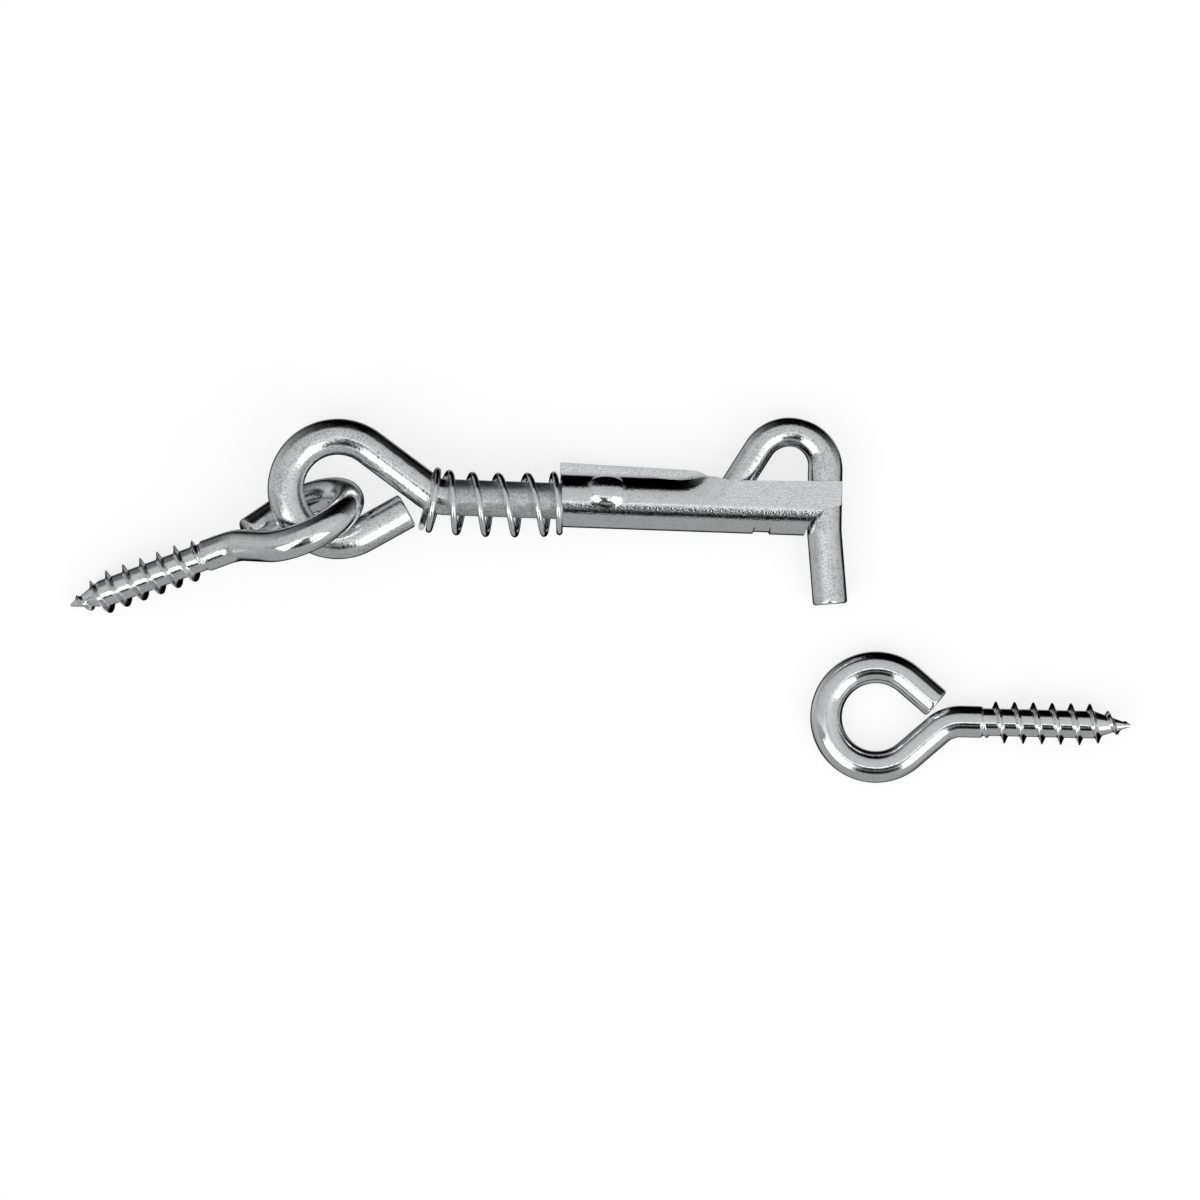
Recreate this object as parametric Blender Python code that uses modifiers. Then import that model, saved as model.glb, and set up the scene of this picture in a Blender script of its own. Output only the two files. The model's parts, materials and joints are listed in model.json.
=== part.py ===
"""Spring-locked hook and eye latch of zinc-plated steel.

A hook bent from one wire carries a coil spring and a folded sheet sleeve. The sleeve slides along the rod and
closes the hook's mouth. One screw eye is linked through the hook's loop, and a second one, the catch, lies loose
beside the prong. The pieces lie on a table: X runs along the rod towards the prong, and Z points up.
"""

import math

import bmesh
import bpy
import numpy as np
from mathutils import Matrix, Vector

# Driving dimensions, in metres and degrees.

# Hook wire
ROD_WIRE = 0.0050
RISER_WIRE = 0.0041
CROWN_WIRE = 0.0040
PRONG_WIRE = 0.0048
LOOP_RADIUS = 0.0072
LOOP_LIFT = 0.0006
LOOP_STEM_ANGLE = 34.7
LOOP_END_ANGLE = 31.0
NECK_BEND_RADIUS = 0.0045
ROD_LENGTH = 0.0500
RISER_ANGLE = 59.5
RISER_BEND_RADIUS = 0.0055
RISER_STRAIGHT = 0.0064
CROWN_RADIUS = 0.0050
CROWN_TURN = 148.5
PRONG_STRAIGHT = 0.0079
PRONG_FLARE = 5.6
PRONG_FLARE_RADIUS = 0.0120
PRONG_POINT = 0.0097

# Screw eyes
EYE_WIRE = 0.0044
EYE_RADIUS = 0.0069
EYE_LIFT = -0.0003
EYE_STEM_ANGLE = 42.0
EYE_END_ANGLE = 39.5
EYE_NECK_BEND_RADIUS = 0.0050
NECK_LENGTH = 0.0026
NECK_RUN_OUT = 0.0005
SCREW_CORE = 0.0038
SCREW_LENGTH = 0.0202
SCREW_POINT_LENGTH = 0.0050
SCREW_TIP = 0.0004

# Locking sleeve
SHEET = 0.00075
SLEEVE_CLEARANCE = 0.00035
SLEEVE_LENGTH = 0.0386
CURL_LENGTH = 0.0150
CURL_FADE = 0.0068
CURL_LIFT = 0.0002
CURL_BACK_EDGE = 0.0080
CURL_FRONT_EDGE = 0.00435
FLANGE_BACK_HEIGHT = 0.0054
FLANGE_FRONT_HEIGHT = 0.00495
FLANGE_LENGTH = 0.0189
SHOULDER_LENGTH = 0.0222
SHOULDER_HEIGHT = 0.00365
FRONT_HEIGHT = 0.0041
SLEEVE_SETBACK = 0.0003
NOTCH_DROP = 0.0005
BOSS_DIAMETER = 0.0046
BOSS_HEIGHT = 0.0005
BOSS_FROM_BACK = 0.0062
BOSS_ANGLE = 31.0
TAB_LENGTH = 0.0024
TAB_WIDTH = 0.0049
TAB_DEPTH = 0.00035
TAB_FROM_FRONT = 0.01075

# Coil spring
SPRING_WIRE = 0.0009
SPRING_OUTER = 0.00895
SPRING_TURNS = 6.0
SPRING_BACK_CLOSED = 0.9
SPRING_FRONT_CLOSED = 0.45
SPRING_EASE = 0.35
SPRING_CLOSED_GAP = 0.0001
SPRING_END_DROP = 0.00025
SPRING_BOW = 0.0006
SPRING_BACK_LEAN = 0.0016
SPRING_FRONT_LEAN = -0.00055
SPRING_LEAN_SPAN = 0.6

# Clearances and finish
SEAT_GAP = 0.0003
CHAMFER = 0.0003

# How the pieces lie on the table
HOOK_DIP = 3.15
FIXED_EYE_HEADING = 201.9
FIXED_EYE_DIP = 12.4
FIXED_EYE_ROLL = 248.0
LINK_DIRECTION = 223.2
LINK_INSET = 0.00075
CATCH_EYE_HEADING = 0.6
CATCH_EYE_DIP = -1.8
CATCH_EYE_ASIDE = (0.0068, -0.0154)

# Fineness of the round shapes
ARC_STEP = 9.0
WIRE_RESOLUTION = 4
SPRING_POINTS_PER_TURN = 18
SLEEVE_STATIONS = 27
SLEEVE_ARC_STEPS = 12

COLLECTION = "hook_and_eye_latch"


def clear_scene():
    for old in list(bpy.data.objects):
        bpy.data.objects.remove(old, do_unlink=True)


def new_collection(name):
    collection = bpy.data.collections.new(name)
    bpy.context.scene.collection.children.link(collection)
    return collection


def plated_steel(name, colour, roughness):
    """Principled BSDF material of a zinc-plated surface."""
    material = bpy.data.materials.new(name)
    material.use_nodes = True
    shader = material.node_tree.nodes["Principled BSDF"]
    shader.inputs["Base Color"].default_value = (*colour, 1.0)
    shader.inputs["Metallic"].default_value = 1.0
    shader.inputs["Roughness"].default_value = roughness
    return material


def empty(name, collection, matrix, parent=None):
    helper = bpy.data.objects.new(name, None)
    collection.objects.link(helper)
    helper.empty_display_size = 0.005
    helper.parent = parent
    helper.matrix_basis = matrix
    return helper


def place(obj, parent, matrix=None):
    obj.parent = parent
    obj.matrix_basis = matrix if matrix is not None else Matrix()


def walk(start, heading, moves):
    """Centre-line rows (x, y, diameter) of a bent wire.

    Each move is a straight run, then a bend: (length, turn in degrees, bend radius, diameter at its end).
    """
    x, y, diameter = start
    rows = [start]
    angle = math.radians(heading)
    for length, turn, radius, end_diameter in moves:
        if length:
            x += length * math.cos(angle)
            y += length * math.sin(angle)
            rows.append((x, y, diameter))
        steps = math.ceil(abs(turn) / ARC_STEP)
        side = math.copysign(1.0, turn)
        centre_x = x - side * radius * math.sin(angle)
        centre_y = y + side * radius * math.cos(angle)
        start_angle = angle
        for step in range(1, steps + 1):
            angle = start_angle + math.radians(turn) * step / steps
            x = centre_x + side * radius * math.sin(angle)
            y = centre_y - side * radius * math.cos(angle)
            rows.append((x, y, diameter + (end_diameter - diameter) * step / steps))
        diameter = end_diameter
    return rows


def teardrop(radius, stem_angle, end_angle, lift, wire, neck_radius):
    """Rows of a closed wire loop, from its stem on the X axis round to its cut end.

    The loop's centre is at (0, lift). The strand joined to the stem is on the +Y side, and the cut end stops
    SEAT_GAP short of it.
    """
    rise = math.radians(stem_angle)
    strand_drop = lift + radius * math.cos(rise)
    corner_x = radius * math.sin(rise) + strand_drop / math.tan(rise)
    tangent = neck_radius * math.tan(rise / 2)
    strand = strand_drop / math.sin(rise) - tangent
    meeting = math.radians(stem_angle + end_angle)
    to_crossing = radius / math.tan(meeting / 2)
    cut_back = (wire / 2 * (1 + math.cos(meeting)) + SEAT_GAP) / math.sin(meeting)
    return walk(
        (corner_x + tangent, 0.0, wire),
        180.0,
        [
            (0.0, -stem_angle, neck_radius, wire),
            (strand, 180.0 + stem_angle + end_angle, radius, wire),
            (to_crossing - cut_back, 0.0, 0.0, wire),
        ],
    )


def chamfered_end(rows):
    """The same rows with a chamfer added at the last one."""
    end = Vector(rows[-1][:-1])
    back = (Vector(rows[-2][:-1]) - end).normalized() * CHAMFER
    diameter = rows[-1][-1]
    return rows[:-1] + [(*(end + back), diameter), (*end, diameter - 2 * CHAMFER)]


def wire_object(name, rows, resolution, collection):
    """A round wire: a POLY curve through (x, y, z, diameter) rows, with filled caps."""
    thickest = max(row[-1] for row in rows)
    curve = bpy.data.curves.new(name, "CURVE")
    curve.dimensions = "3D"
    curve.bevel_depth = thickest / 2
    curve.bevel_resolution = resolution
    curve.use_fill_caps = True
    spline = curve.splines.new("POLY")
    spline.points.add(len(rows) - 1)
    spline.use_smooth = True
    for point, (x, y, z, diameter) in zip(spline.points, rows):
        point.co = (x, y, z, 1.0)
        point.radius = diameter / thickest
    wire = bpy.data.objects.new(name, curve)
    collection.objects.link(wire)
    return wire


def flat_rows(rows):
    """Rows of a flat bend with the Z that a wire object needs."""
    return [(x, y, 0.0, diameter) for x, y, diameter in rows]


def prong_axis_x():
    """X of the prong where the crown ends, measured along the rod from the loop's centre."""
    rise = math.radians(RISER_ANGLE)
    fall = math.radians(CROWN_TURN) - rise
    riser = RISER_BEND_RADIUS * math.sin(rise) + RISER_STRAIGHT * math.cos(rise)
    return ROD_LENGTH + riser + CROWN_RADIUS * (math.sin(rise) + math.sin(fall))


def hook_rows():
    """Centre lines of the loop, its cut end first, and of the rod up to the prong's end.

    The rod lies on the X axis.
    """
    loop = teardrop(
        LOOP_RADIUS, LOOP_STEM_ANGLE, LOOP_END_ANGLE, LOOP_LIFT, ROD_WIRE, NECK_BEND_RADIUS
    )
    rod_start = loop[0]
    crown_half = CROWN_TURN / 2
    rod = walk(
        rod_start,
        0.0,
        [
            (ROD_LENGTH - rod_start[0], 0.0, 0.0, ROD_WIRE),
            (0.0, RISER_ANGLE, RISER_BEND_RADIUS, RISER_WIRE),
            (RISER_STRAIGHT, -crown_half, CROWN_RADIUS, CROWN_WIRE),
            (0.0, -crown_half, CROWN_RADIUS, PRONG_WIRE),
            (PRONG_STRAIGHT, PRONG_FLARE, PRONG_FLARE_RADIUS, PRONG_WIRE),
            (PRONG_POINT, 0.0, 0.0, PRONG_WIRE),
        ],
    )
    cut_end_first = chamfered_end(loop)[::-1]
    return cut_end_first, chamfered_end(rod)


def eye_rows():
    """The screw eye's centre line from its cut end to the point, with the screw along +X."""
    loop = teardrop(
        EYE_RADIUS, EYE_STEM_ANGLE, EYE_END_ANGLE, EYE_LIFT, EYE_WIRE, EYE_NECK_BEND_RADIUS
    )
    stem_x = loop[0][0]
    neck_x = stem_x + NECK_LENGTH
    thread_x = neck_x + NECK_RUN_OUT
    point_x = thread_x + SCREW_LENGTH
    shank = [
        (neck_x, 0.0, EYE_WIRE),
        (thread_x, 0.0, SCREW_CORE),
        (point_x - SCREW_POINT_LENGTH, 0.0, SCREW_CORE),
        (point_x, 0.0, SCREW_TIP),
    ]
    return chamfered_end(loop)[::-1] + shank


def smooth_step(value):
    value = min(max(value, 0.0), 1.0)
    return value * value * (3.0 - 2.0 * value)


def spring_rows(back, front):
    """Coil rows between two X positions, each the lowest point of an end turn.

    The first turns are closed and lean on the hook's neck. The middle of the coil bows down.
    """
    mean_radius = (SPRING_OUTER - SPRING_WIRE) / 2
    closed_pitch = SPRING_WIRE + SPRING_CLOSED_GAP
    steps = round(SPRING_TURNS * SPRING_POINTS_PER_TURN)
    turns = np.linspace(0.0, SPRING_TURNS, steps + 1)
    openness = [
        smooth_step((turn - SPRING_BACK_CLOSED) / SPRING_EASE)
        * smooth_step((SPRING_TURNS - SPRING_FRONT_CLOSED - turn) / SPRING_EASE)
        for turn in turns
    ]
    opened = np.cumsum(openness) / np.sum(openness)
    open_length = front - back - closed_pitch * SPRING_TURNS
    rows = []
    for turn, share in zip(turns, opened):
        angle = 2 * math.pi * (turn + 0.5)
        progress = turn / SPRING_TURNS
        straightened = smooth_step(progress / SPRING_LEAN_SPAN)
        lean = SPRING_BACK_LEAN + (SPRING_FRONT_LEAN - SPRING_BACK_LEAN) * straightened
        x = back + closed_pitch * turn + open_length * share + lean * (1 + math.cos(angle)) / 2
        drop = SPRING_END_DROP + SPRING_BOW * math.sin(math.pi * progress)
        y = mean_radius * math.cos(angle) - drop
        z = mean_radius * math.sin(angle)
        rows.append((x, y, z, SPRING_WIRE))
    return rows


def sleeve_section(distance, outer):
    """Outer (y, z) points of the folded sheet, from the far edge round the bottom to the near edge."""
    far_height = np.interp(
        distance,
        [0.0, FLANGE_LENGTH, SHOULDER_LENGTH, SLEEVE_LENGTH],
        [FLANGE_BACK_HEIGHT, FLANGE_FRONT_HEIGHT, SHOULDER_HEIGHT, FRONT_HEIGHT],
    )
    near_edge = np.interp(
        distance,
        [0.0, CURL_LENGTH, CURL_LENGTH + CURL_FADE, SHOULDER_LENGTH, SLEEVE_LENGTH],
        [CURL_BACK_EDGE, CURL_FRONT_EDGE, CURL_FRONT_EDGE, SHOULDER_HEIGHT, FRONT_HEIGHT],
    )
    curl = (1.0 - smooth_step((distance - CURL_LENGTH) / CURL_FADE)) / outer
    section = [(far_height * share, -outer) for share in (1.0, 2 / 3, 1 / 3)]
    for step in range(SLEEVE_ARC_STEPS + 1):
        angle = math.pi * step / SLEEVE_ARC_STEPS
        section.append((-outer * math.sin(angle), -outer * math.cos(angle)))
    for step in range(SLEEVE_ARC_STEPS + 1):
        run = (near_edge - CURL_LIFT) * step / SLEEVE_ARC_STEPS
        turned = curl * run
        if turned > 1e-6:
            rise = math.sin(turned) / curl
            inwards = (1 - math.cos(turned)) / curl
        else:
            rise = run
            inwards = 0.0
        section.append((CURL_LIFT + rise, outer - inwards))
    return section


def cylinder_cutter(name, radius, start, end, collection, parent):
    """A closed cylinder between two points, kept out of the render."""
    axis = Vector(end) - Vector(start)
    mesh = bpy.data.meshes.new(name)
    shape = bmesh.new()
    bmesh.ops.create_cone(
        shape, cap_ends=True, segments=48, radius1=radius, radius2=radius, depth=axis.length
    )
    shape.to_mesh(mesh)
    shape.free()
    cutter = bpy.data.objects.new(name, mesh)
    turn = axis.to_track_quat("Z", "Y").to_matrix().to_4x4()
    middle = (Vector(start) + Vector(end)) / 2
    return as_cutter(cutter, collection, parent, Matrix.Translation(middle) @ turn)


def box_cutter(name, low, high, collection, parent):
    """A closed box between two corners, kept out of the render."""
    low, high = Vector(low), Vector(high)
    mesh = bpy.data.meshes.new(name)
    shape = bmesh.new()
    bmesh.ops.create_cube(shape, size=1.0, matrix=Matrix.Diagonal((*(high - low), 1.0)))
    shape.to_mesh(mesh)
    shape.free()
    cutter = bpy.data.objects.new(name, mesh)
    return as_cutter(cutter, collection, parent, Matrix.Translation((low + high) / 2))


def as_cutter(cutter, collection, parent, matrix):
    collection.objects.link(cutter)
    cutter.hide_render = True
    cutter.display_type = "WIRE"
    place(cutter, parent, matrix)
    return cutter


def combine(target, cutter, operation):
    step = target.modifiers.new(cutter.name, "BOOLEAN")
    step.operation = operation
    step.object = cutter


def sleeve_object(front, notch_back, outer, collection, cutters, frame):
    """The folded sheet sleeve. Its origin is on the rod's axis at its back end."""
    back = front - SLEEVE_LENGTH
    shape = bmesh.new()
    grid = []
    for station in range(SLEEVE_STATIONS + 1):
        distance = SLEEVE_LENGTH * station / SLEEVE_STATIONS
        section = sleeve_section(distance, outer)
        grid.append([shape.verts.new((distance, y, z)) for y, z in section])
    for here, ahead in zip(grid, grid[1:]):
        for low in range(len(here) - 1):
            shape.faces.new((here[low], ahead[low], ahead[low + 1], here[low + 1]))
    mesh = bpy.data.meshes.new("locking_sleeve")
    shape.to_mesh(mesh)
    shape.free()
    sleeve = bpy.data.objects.new("locking_sleeve", mesh)
    collection.objects.link(sleeve)
    place(sleeve, frame, Matrix.Translation((back, 0.0, 0.0)))
    wall = sleeve.modifiers.new("sheet thickness", "SOLIDIFY")
    wall.thickness = SHEET
    wall.offset = -1.0
    wall.use_even_offset = True

    beyond = 2 * outer
    notch = cylinder_cutter(
        "prong_notch_cutter",
        front - notch_back,
        (SLEEVE_LENGTH, -outer - NOTCH_DROP, -beyond),
        (SLEEVE_LENGTH, -outer - NOTCH_DROP, beyond),
        cutters,
        sleeve,
    )
    combine(sleeve, notch, "DIFFERENCE")

    tab_middle = SLEEVE_LENGTH - TAB_FROM_FRONT
    tab = box_cutter(
        "tab_cutter",
        (tab_middle - TAB_LENGTH / 2, -beyond, -TAB_WIDTH / 2),
        (tab_middle + TAB_LENGTH / 2, TAB_DEPTH - outer, TAB_WIDTH / 2),
        cutters,
        sleeve,
    )
    combine(sleeve, tab, "DIFFERENCE")

    angle = math.radians(BOSS_ANGLE)
    facing = Vector((0.0, math.sin(angle), math.cos(angle)))
    middle = Vector((BOSS_FROM_BACK, CURL_LIFT, 0.0))
    along = Vector((BOSS_DIAMETER, 0.0, 0.0))
    boss = cylinder_cutter(
        "boss", BOSS_DIAMETER / 2, middle, middle + facing * beyond, cutters, sleeve
    )
    for name, radius, operation in (
        ("boss_face", outer + BOSS_HEIGHT, "INTERSECT"),
        ("boss_back", outer - SHEET / 2, "DIFFERENCE"),
    ):
        round_face = cylinder_cutter(name, radius, middle - along, middle + along, cutters, sleeve)
        combine(boss, round_face, operation)
    combine(sleeve, boss, "UNION")
    return sleeve


def shade(parts):
    """Smooth shading, with the sharp edges of the sheet kept."""
    for part in parts:
        if part.type == "MESH":
            part.data.shade_smooth()
            part.data.set_sharp_from_angle(angle=math.radians(30))


def eye_matrix(heading, dip, roll, ring_centre):
    """Places a screw eye: heading of its screw in plan, dip of its point and roll about the screw."""
    turn = (
        Matrix.Rotation(math.radians(heading), 4, "Z")
        @ Matrix.Rotation(math.radians(dip), 4, "Y")
        @ Matrix.Rotation(math.radians(roll), 4, "X")
    )
    return Matrix.Translation(ring_centre) @ turn @ Matrix.Translation((0.0, EYE_LIFT, 0.0))


def ring_height(dip, roll):
    """Height of the ring's centre when the ring's lowest point touches the table."""
    dip, roll = math.radians(dip), math.radians(roll)
    lean = math.hypot(math.sin(dip), math.cos(dip) * math.sin(roll))
    return EYE_WIRE / 2 + EYE_RADIUS * lean


def centre_on_table(root, parts):
    """Moves the root so that the middle of the part's footprint is the origin and its lowest point is at Z 0."""
    bpy.context.view_layer.update()
    graph = bpy.context.evaluated_depsgraph_get()
    corners = []
    for part in parts:
        shown = part.evaluated_get(graph)
        mesh = shown.to_mesh()
        corners += [shown.matrix_world @ vertex.co for vertex in mesh.vertices]
        shown.to_mesh_clear()
    points = np.array(corners)
    low, high = points.min(axis=0), points.max(axis=0)
    middle = (low + high) / 2
    root.location = (-middle[0], -middle[1], -low[2])


def main():
    clear_scene()
    parts = new_collection(COLLECTION)
    cutters = new_collection("cutters")
    cutters.hide_render = True

    root = empty("latch_origin", parts, Matrix())
    loop_rows, rod_rows = hook_rows()
    prong_end = rod_rows[-1]
    sleeve_front = prong_axis_x() + PRONG_WIRE / 2 - SLEEVE_SETBACK
    notch_back = prong_axis_x() - PRONG_WIRE / 2 - SEAT_GAP
    sleeve_outer = ROD_WIRE / 2 + SLEEVE_CLEARANCE + SHEET

    dip = math.radians(HOOK_DIP)
    loop_height = sleeve_front * math.sin(dip) + sleeve_outer * math.cos(dip)
    hook_frame = empty(
        "hook_frame",
        parts,
        Matrix.Translation((0.0, 0.0, loop_height)) @ Matrix.Rotation(dip, 4, "Y"),
        root,
    )
    hook = wire_object("hook", flat_rows(loop_rows + rod_rows[1:]), WIRE_RESOLUTION, parts)
    place(hook, hook_frame)

    sleeve = sleeve_object(sleeve_front, notch_back, sleeve_outer, parts, cutters, hook_frame)
    cut_end = Vector(loop_rows[0][:2])
    inwards = (Vector(loop_rows[1][:2]) - cut_end).normalized()
    cut_corner_x = cut_end.x - inwards.y * ROD_WIRE / 2
    spring = wire_object(
        "compression_spring",
        spring_rows(
            cut_corner_x + SEAT_GAP + SPRING_WIRE / 2,
            sleeve_front - SLEEVE_LENGTH,
        ),
        2,
        parts,
    )
    place(spring, hook_frame)

    swing = empty(
        "eye_swing_axis", parts, Matrix.Translation((0.0, LOOP_LIFT, 0.0)), hook_frame
    )
    link = math.radians(LINK_DIRECTION)
    reach = LOOP_RADIUS - LINK_INSET
    fixed_centre = Vector(
        (
            reach * math.cos(link),
            LOOP_LIFT + reach * math.sin(link),
            ring_height(FIXED_EYE_DIP, FIXED_EYE_ROLL),
        )
    )
    eye_points = [(x, -y, z, d) for x, y, z, d in flat_rows(eye_rows())]
    fixed_eye = wire_object("fixed_screw_eye", eye_points, WIRE_RESOLUTION, parts)
    to_root = hook_frame.matrix_basis @ swing.matrix_basis
    place(
        fixed_eye,
        swing,
        to_root.inverted()
        @ eye_matrix(FIXED_EYE_HEADING, FIXED_EYE_DIP, FIXED_EYE_ROLL, fixed_centre),
    )

    catch_centre = Vector(
        (
            prong_end[0] + CATCH_EYE_ASIDE[0],
            prong_end[1] + CATCH_EYE_ASIDE[1],
            ring_height(CATCH_EYE_DIP, 0.0),
        )
    )
    catch_eye = wire_object("catch_screw_eye", eye_points, WIRE_RESOLUTION, parts)
    place(catch_eye, root, eye_matrix(CATCH_EYE_HEADING, CATCH_EYE_DIP, 0.0, catch_centre))

    finishes = {
        hook: plated_steel("plated_hook_wire", (0.70, 0.71, 0.72), 0.30),
        spring: plated_steel("plated_spring_wire", (0.74, 0.75, 0.76), 0.18),
        sleeve: plated_steel("plated_sheet", (0.68, 0.69, 0.70), 0.36),
        fixed_eye: plated_steel("plated_fixed_eye", (0.70, 0.71, 0.72), 0.28),
        catch_eye: plated_steel("plated_catch_eye", (0.70, 0.71, 0.72), 0.28),
    }
    for part, finish in finishes.items():
        part.data.materials.append(finish)
    shade(finishes)
    centre_on_table(root, finishes)


main()
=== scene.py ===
# %% [markdown]
# # A spring-locked hook and eye latch
#
# This lesson dresses a small piece of door hardware: a hook bent from one wire, a coil spring, a
# folded sheet sleeve that locks the hook, and two screw eyes. The engineering model is loaded
# first and never changed. Each piece is then made again with a finer surface, in the same place,
# so that it takes light like plated steel.

import json
import math

import bpy
from mathutils import Matrix, Vector


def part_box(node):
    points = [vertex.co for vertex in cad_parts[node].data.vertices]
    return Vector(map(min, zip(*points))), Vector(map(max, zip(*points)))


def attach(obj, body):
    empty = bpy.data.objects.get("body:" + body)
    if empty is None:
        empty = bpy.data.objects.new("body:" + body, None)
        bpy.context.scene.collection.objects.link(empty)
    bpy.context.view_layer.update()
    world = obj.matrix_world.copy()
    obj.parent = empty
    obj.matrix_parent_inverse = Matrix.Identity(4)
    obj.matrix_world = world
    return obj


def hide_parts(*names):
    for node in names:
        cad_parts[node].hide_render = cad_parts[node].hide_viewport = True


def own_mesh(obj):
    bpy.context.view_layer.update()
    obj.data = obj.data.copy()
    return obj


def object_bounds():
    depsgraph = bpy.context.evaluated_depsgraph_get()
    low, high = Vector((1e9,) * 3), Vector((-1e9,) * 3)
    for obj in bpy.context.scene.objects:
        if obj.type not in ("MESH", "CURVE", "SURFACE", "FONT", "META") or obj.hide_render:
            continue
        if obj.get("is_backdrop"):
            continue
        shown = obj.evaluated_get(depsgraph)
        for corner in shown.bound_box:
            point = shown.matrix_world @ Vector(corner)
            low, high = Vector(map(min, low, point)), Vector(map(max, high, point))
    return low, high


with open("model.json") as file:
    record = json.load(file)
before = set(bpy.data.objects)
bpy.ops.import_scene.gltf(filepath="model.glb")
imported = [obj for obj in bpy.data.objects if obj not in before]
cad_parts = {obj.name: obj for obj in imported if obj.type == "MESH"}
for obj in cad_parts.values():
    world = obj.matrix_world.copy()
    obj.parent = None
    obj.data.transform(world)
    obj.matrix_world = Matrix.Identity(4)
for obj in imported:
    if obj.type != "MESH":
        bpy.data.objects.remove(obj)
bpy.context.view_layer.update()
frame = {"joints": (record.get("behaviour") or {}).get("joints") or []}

# %% [markdown]
# ## Where the hook lies
#
# The hook rests on the table at a slight slope. Its two joints say how: the sleeve slides along
# the rod, and the linked eye swings about the loop's own axis. Those two directions are the X and
# Z of the hook's frame, so every piece can be bent on flat ground first and then be laid where
# the model has it.

# %% Read the hook's frame from the joints
MM = 0.001
LOOP_LIFT = 0.6 * MM

joints = {joint["name"]: joint for joint in frame["joints"]}
loop_centre = Vector(joints["eye_swing"]["pos_m"])
loop_normal = Vector(joints["eye_swing"]["axis"])
to_prong = -Vector(joints["sleeve_slide"]["axis"])
side = loop_normal.cross(to_prong)
hook_place = Matrix((to_prong, side, loop_normal)).transposed().to_4x4()
hook_place.translation = loop_centre - LOOP_LIFT * side
print("rod slopes down by", round(math.degrees(math.asin(-to_prong.z)), 2), "degrees")

# %% [markdown]
# ## Bending wire
#
# A wire former feeds wire and bends it round a pin, again and again. The same two moves make
# every wire piece here. A circle is the wire's section, and in edit mode it is extruded straight
# ahead, or extruded and turned round the centre of a bend. Each ring also keeps its place on the
# straight wire in an attribute, so that the draw marks of the metal can later follow the bends.

# %% A wire that is fed and bent in edit mode
WIRE_SIDES = 48
RING_GAP = 0.45 * MM
FINEST_BEND = math.radians(5.0)
# A cut edge is rounded in three equal steps. The shares say how far round each one has come.
CUT_EDGE = 0.35 * MM
EDGE_STEP = 0.35
EDGE_SHARES = (0.35, 0.7, 1.0)
EDGE_RUN = len(EDGE_SHARES) * EDGE_STEP * CUT_EDGE


def new_ring(name, sides, radius, place):
    """A circle in edit mode, all selected, facing along the place's X axis."""
    bpy.ops.object.select_all(action="DESELECT")
    bpy.ops.mesh.primitive_circle_add(vertices=sides, radius=radius, fill_type="NOTHING")
    ring = bpy.context.object
    ring.name = ring.data.name = name
    ring.matrix_world = place @ Matrix.Rotation(math.pi / 2, 4, "Y")
    bpy.ops.object.transform_apply(location=True, rotation=True, scale=True)
    bpy.ops.object.mode_set(mode="EDIT")
    bpy.ops.mesh.select_all(action="SELECT")
    return ring


def cap_first_ring(sides):
    """Closes a tube whose last ring is selected and whose first has the first vertices."""
    bpy.ops.mesh.edge_face_add()
    bpy.ops.mesh.select_all(action="DESELECT")
    bpy.ops.object.mode_set(mode="OBJECT")
    mesh = bpy.context.object.data
    for vertex in mesh.vertices[:sides]:
        vertex.select = True
    bpy.ops.object.mode_set(mode="EDIT")
    bpy.ops.mesh.select_mode(type="VERT")
    bpy.ops.mesh.edge_face_add()
    bpy.ops.mesh.select_all(action="SELECT")
    bpy.ops.mesh.normals_make_consistent(inside=False)
    bpy.ops.object.mode_set(mode="OBJECT")


def keep_straight_places(piece, places):
    """Stores each vertex's place on the straight wire or the flat sheet, for the materials."""
    attribute = piece.data.attributes.new("straight", "FLOAT_VECTOR", "POINT")
    attribute.data.foreach_set("vector", [number for place in places for number in place])


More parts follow.
